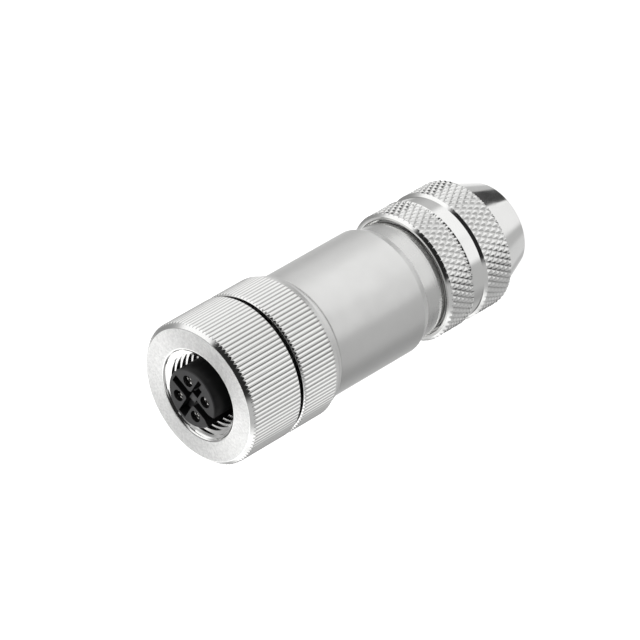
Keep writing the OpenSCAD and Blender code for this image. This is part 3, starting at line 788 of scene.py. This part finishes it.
class Finish(Nodes):
    """A material on one Principled shader, with the patterns that the finishes share."""

    def __init__(self, name, colour, roughness, metallic=0.0, **fixed):
        self.material = bpy.data.materials.new(name)
        self.material.use_nodes = True
        super().__init__(self.material.node_tree)
        self.shader = self.tree.nodes["Principled BSDF"]
        self.colour = colour
        self.roughness = roughness
        self.shader.inputs["Base Color"].default_value = (*colour, 1)
        self.shader.inputs["Roughness"].default_value = roughness
        self.shader.inputs["Metallic"].default_value = metallic
        for socket, value in fixed.items():
            self.shader.inputs[socket.replace("_", " ")].default_value = value
        self.place = self.add("ShaderNodeTexCoord").outputs["Object"]
        self.normal = None

    def turned_place(self):
        """Distance from the axis and height, in mm, so that a pattern follows the turning marks.

        A little of the place round the axis is added, so that no mark runs all the way."""
        parts = self.add("ShaderNodeSeparateXYZ", Vector=self.place).outputs
        flat = self.add("ShaderNodeCombineXYZ", X=parts["X"], Y=parts["Y"]).outputs[0]
        radius = self.vector_math("LENGTH", flat, output=1)
        turned = self.add("ShaderNodeCombineXYZ", X=self.math("MULTIPLY", radius, 1 / MM),
                          Z=self.math("MULTIPLY", parts["Z"], 1 / MM)).outputs[0]
        round_part = self.vector_math("SCALE", flat)
        self.feed(round_part.node.inputs["Scale"], around_share / MM)
        return self.vector_math("ADD", turned, round_part)

    def noise(self, place, scale, detail=2.0, roughness=0.5):
        node = self.add("ShaderNodeTexNoise", Vector=place, Scale=scale, Detail=detail,
                        Roughness=roughness)
        return node.outputs["Fac"]

    def bump(self, height, depth_mm):
        """Raises the surface by the pattern, from 0 to 1, times the depth."""
        node = self.add("ShaderNodeBump", Height=height, Strength=1.0, Distance=depth_mm * MM)
        if self.normal is not None:
            self.feed(node.inputs["Normal"], self.normal)
        self.normal = node.outputs["Normal"]
        self.feed(self.shader.inputs["Normal"], self.normal)

    def vary_roughness(self, pattern, spread):
        value = self.ramp(pattern, noise_low, noise_high,
                          self.roughness - spread, self.roughness + spread)
        self.feed(self.shader.inputs["Roughness"], value)

    def vary_colour(self, pattern, share):
        darker = [c * (1 - share) for c in self.colour]
        fade = self.ramp(pattern, noise_low, noise_high, 0, 1)
        self.paint = self.blend(fade, (*darker, 1), (*self.colour, 1))
        self.feed(self.shader.inputs["Base Color"], self.paint)

    def axis_share(self, low, high):
        """0 on faces that run along the axis, 1 on those that cross it."""
        facing = self.add("ShaderNodeNewGeometry").outputs["True Normal"]
        slope = self.math("ABSOLUTE", self.add("ShaderNodeSeparateXYZ", Vector=facing).outputs["Z"])
        return self.ramp(slope, low, high, 0, 1)

    def darken_walls(self, shade):
        """Paints shade on the walls along the axis, so that they are darker than the ends, which keep
        the plain colour.
        """
        # Painted shade: walls along the axis are darkened to stand in for the shade they lie in.
        dark = [c * shade for c in self.colour]
        unshaded_ends = self.axis_share(0.4, 0.8)
        self.feed(self.shader.inputs["Base Color"], self.blend(unshaded_ends, (*dark, 1), self.paint))

    def darken_valleys(self, crest_r, depth, shade):
        """Paints shade into the valleys of a knurl by darkening their colour, and none on faces that
        cross the axis.
        """
        parts = self.add("ShaderNodeSeparateXYZ", Vector=self.place).outputs
        flat = self.add("ShaderNodeCombineXYZ", X=parts["X"], Y=parts["Y"]).outputs[0]
        radius = self.math("DIVIDE", self.vector_math("LENGTH", flat, output=1), MM)
        clean = self.ramp(radius, crest_r - depth, crest_r - depth / 2, 0, 1)
        inside = self.ramp(radius, crest_r - 1.3 * depth, crest_r - 1.2 * depth, 1, 0)
        share = self.math("MAXIMUM", self.math("MAXIMUM", clean, inside), self.axis_share(0.35, 0.5))
        # Painted shade: the colour in a knurl's valleys is darkened to stand in for the shade that falls
        # there.
        painted_valley_shade = [c * shade for c in self.colour]
        self.feed(self.shader.inputs["Base Color"], self.blend(share, (*painted_valley_shade, 1), self.paint))


def nickel(name, colour, roughness, marks_mm, grain, anisotropic=0.0, knurl=None, metallic=1.0,
           speckle_mm=0.0, stains=(160.0, 0.05)):
    """Nickel plate: turning marks, a little uneven gloss, and faint stains.

    Grain is how fine the marks are. Knurl is the radius of a knurl's crests, its depth,
    and the share of the colour that the painted shade in its valleys leaves. Speckle_mm is the
    height of a fine blasted grain. Stains are the pattern's scale and its share."""
    finish = Finish(name, colour, roughness, metallic, Anisotropic=anisotropic)
    if anisotropic:
        tangent = finish.add("ShaderNodeTangent", direction_type="RADIAL", axis="Z")
        finish.feed(finish.shader.inputs["Tangent"], tangent.outputs[0])
        finish.shader.inputs["Anisotropic Rotation"].default_value = 0.25
    finish.bump(finish.noise(finish.turned_place(), grain, 3.0, 0.6), marks_mm)
    if speckle_mm:
        finish.bump(finish.noise(finish.place, 3600.0, 3.0, 0.65), speckle_mm)
    finish.vary_roughness(finish.noise(finish.place, 420.0, 3.0), 0.035)
    stain_scale, stain_share = stains
    finish.vary_colour(finish.noise(finish.place, stain_scale, 4.0, 0.6), stain_share)
    if knurl is not None:
        finish.darken_valleys(*knurl)
    return finish.material


def plastic(name, colour, roughness, grain_mm=0.003, specular=0.5, walls=None):
    """Moulded plastic: fine spark-eroded grain, slightly uneven gloss.

    Walls is the share of the colour that its walls along the axis keep; this darkening is painted shade."""
    finish = Finish(name, colour, roughness, IOR=1.45, Specular_IOR_Level=specular)
    finish.bump(finish.noise(finish.place, 9000.0, 3.0, 0.6), grain_mm)
    finish.vary_roughness(finish.noise(finish.place, 700.0, 3.0), 0.06)
    finish.vary_colour(finish.noise(finish.place, 350.0, 4.0), 0.22)
    if walls is not None:
        finish.darken_walls(walls)
    return finish.material


def rubber(name):
    """Black rubber with a dusty bloom."""
    finish = Finish(name, (0.035, 0.035, 0.036), 0.62, IOR=1.5)
    finish.bump(finish.noise(finish.place, 5000.0, 4.0, 0.7), 0.004)
    finish.vary_roughness(finish.noise(finish.place, 500.0, 3.0), 0.08)
    finish.vary_colour(finish.noise(finish.place, 300.0, 4.0), 0.3)
    return finish.material


def dress():
    """Makes every piece, with its finish."""
    plate = (0.88, 0.88, 0.87)
    turned = dict(roughness=0.14, marks_mm=0.0003, grain=9.0)
    # The last number of each knurl is the share of colour that its painted valley shade leaves.
    ring_nickel = nickel("ring_nickel", plate, **turned, knurl=(ring_r, knurl_depth, 0.3))
    face_nickel = nickel("face_nickel", (0.95, 0.95, 0.94), roughness=0.32, marks_mm=0.003,
                         grain=16.0, anisotropic=0.8, speckle_mm=0.022, stains=(3300.0, 0.24))
    collar_nickel = nickel("collar_nickel", plate, **turned, knurl=(collar_r, knurl_depth, 0.3))
    nut_nickel = nickel("nut_nickel", plate, roughness=0.12, marks_mm=0.0003, grain=9.0,
                        knurl=(nut_r, diamond_depth, 0.75))
    shoulder_nickel = nickel("shoulder_nickel", (0.76, 0.76, 0.75), roughness=0.36,
                             marks_mm=0.0006, grain=12.0, metallic=0.7)
    sleeve_nickel = nickel("sleeve_nickel", (0.80, 0.80, 0.79), roughness=0.34, marks_mm=0.0006,
                           grain=12.0, anisotropic=0.75, metallic=0.7, speckle_mm=0.004)
    # The neck is turned finer and glossier than the sleeve; its darker colour is painted shade, for the
    # shade near the nut.
    neck_nickel = nickel("neck_nickel", (0.72, 0.72, 0.71), roughness=0.26, marks_mm=0.006,
                         grain=14.0, metallic=0.85)
    shield_nickel = nickel("shield_nickel", (0.82, 0.82, 0.80), roughness=0.28, marks_mm=0.0015,
                           grain=8.0)
    contact_plate = nickel("contact_plate", (0.86, 0.85, 0.83), roughness=0.16, marks_mm=0.0003,
                           grain=12.0)
    spring_steel = nickel("spring_steel", (0.62, 0.62, 0.63), roughness=0.3, marks_mm=0.0012,
                          grain=9.0)
    # walls=0.15 paints shade on the insert's walls along the axis.
    insert_plastic = plastic("insert_plastic", (0.04, 0.04, 0.041), roughness=0.4, grain_mm=0.006,
                             specular=0.26, walls=0.15)
    cage_plastic = plastic("cage_plastic", (0.05, 0.05, 0.052), roughness=0.45)
    liner_plastic = plastic("liner_plastic", (0.32, 0.33, 0.34), roughness=0.45)
    seal_rubber = rubber("seal_rubber")

    make_coupling_ring(ring_nickel, face_nickel)
    make_front_collar(collar_nickel, shoulder_nickel)
    make_housing_sleeve(sleeve_nickel, neck_nickel)
    make_clamp_nut(nut_nickel)
    refined("contact_insert", "front", insert_plastic, round_edge)
    for number in range(1, 5):
        refined(f"socket_contact_{number}", "front", contact_plate, fine_edge,
                change=countersunk)
    for node in ("terminal_screws", "insert_clip", "coupling_clip"):
        refined(node, "front", spring_steel, edge)
    for node in ("shield_inner_ring", "shield_outer_ring"):
        refined(node, "clamp_stack", shield_nickel, soft_edge)
    refined("thrust_washer", "clamp_stack", liner_plastic, soft_edge)
    refined("clamping_cage", "clamp_stack", cage_plastic, round_edge)
    refined("cable_grommet", "clamp_stack", seal_rubber, round_edge)
    refined("insulating_sleeve", "housing", liner_plastic, soft_edge)
    for node in ("mating_seal", "collar_seal"):
        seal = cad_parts[node].data
        seal.materials.clear()
        seal.materials.append(seal_rubber)


make_camera()
make_world()
make_floor()
make_lamp()
dress()

scene = bpy.context.scene
scene.view_settings.view_transform = "Standard"
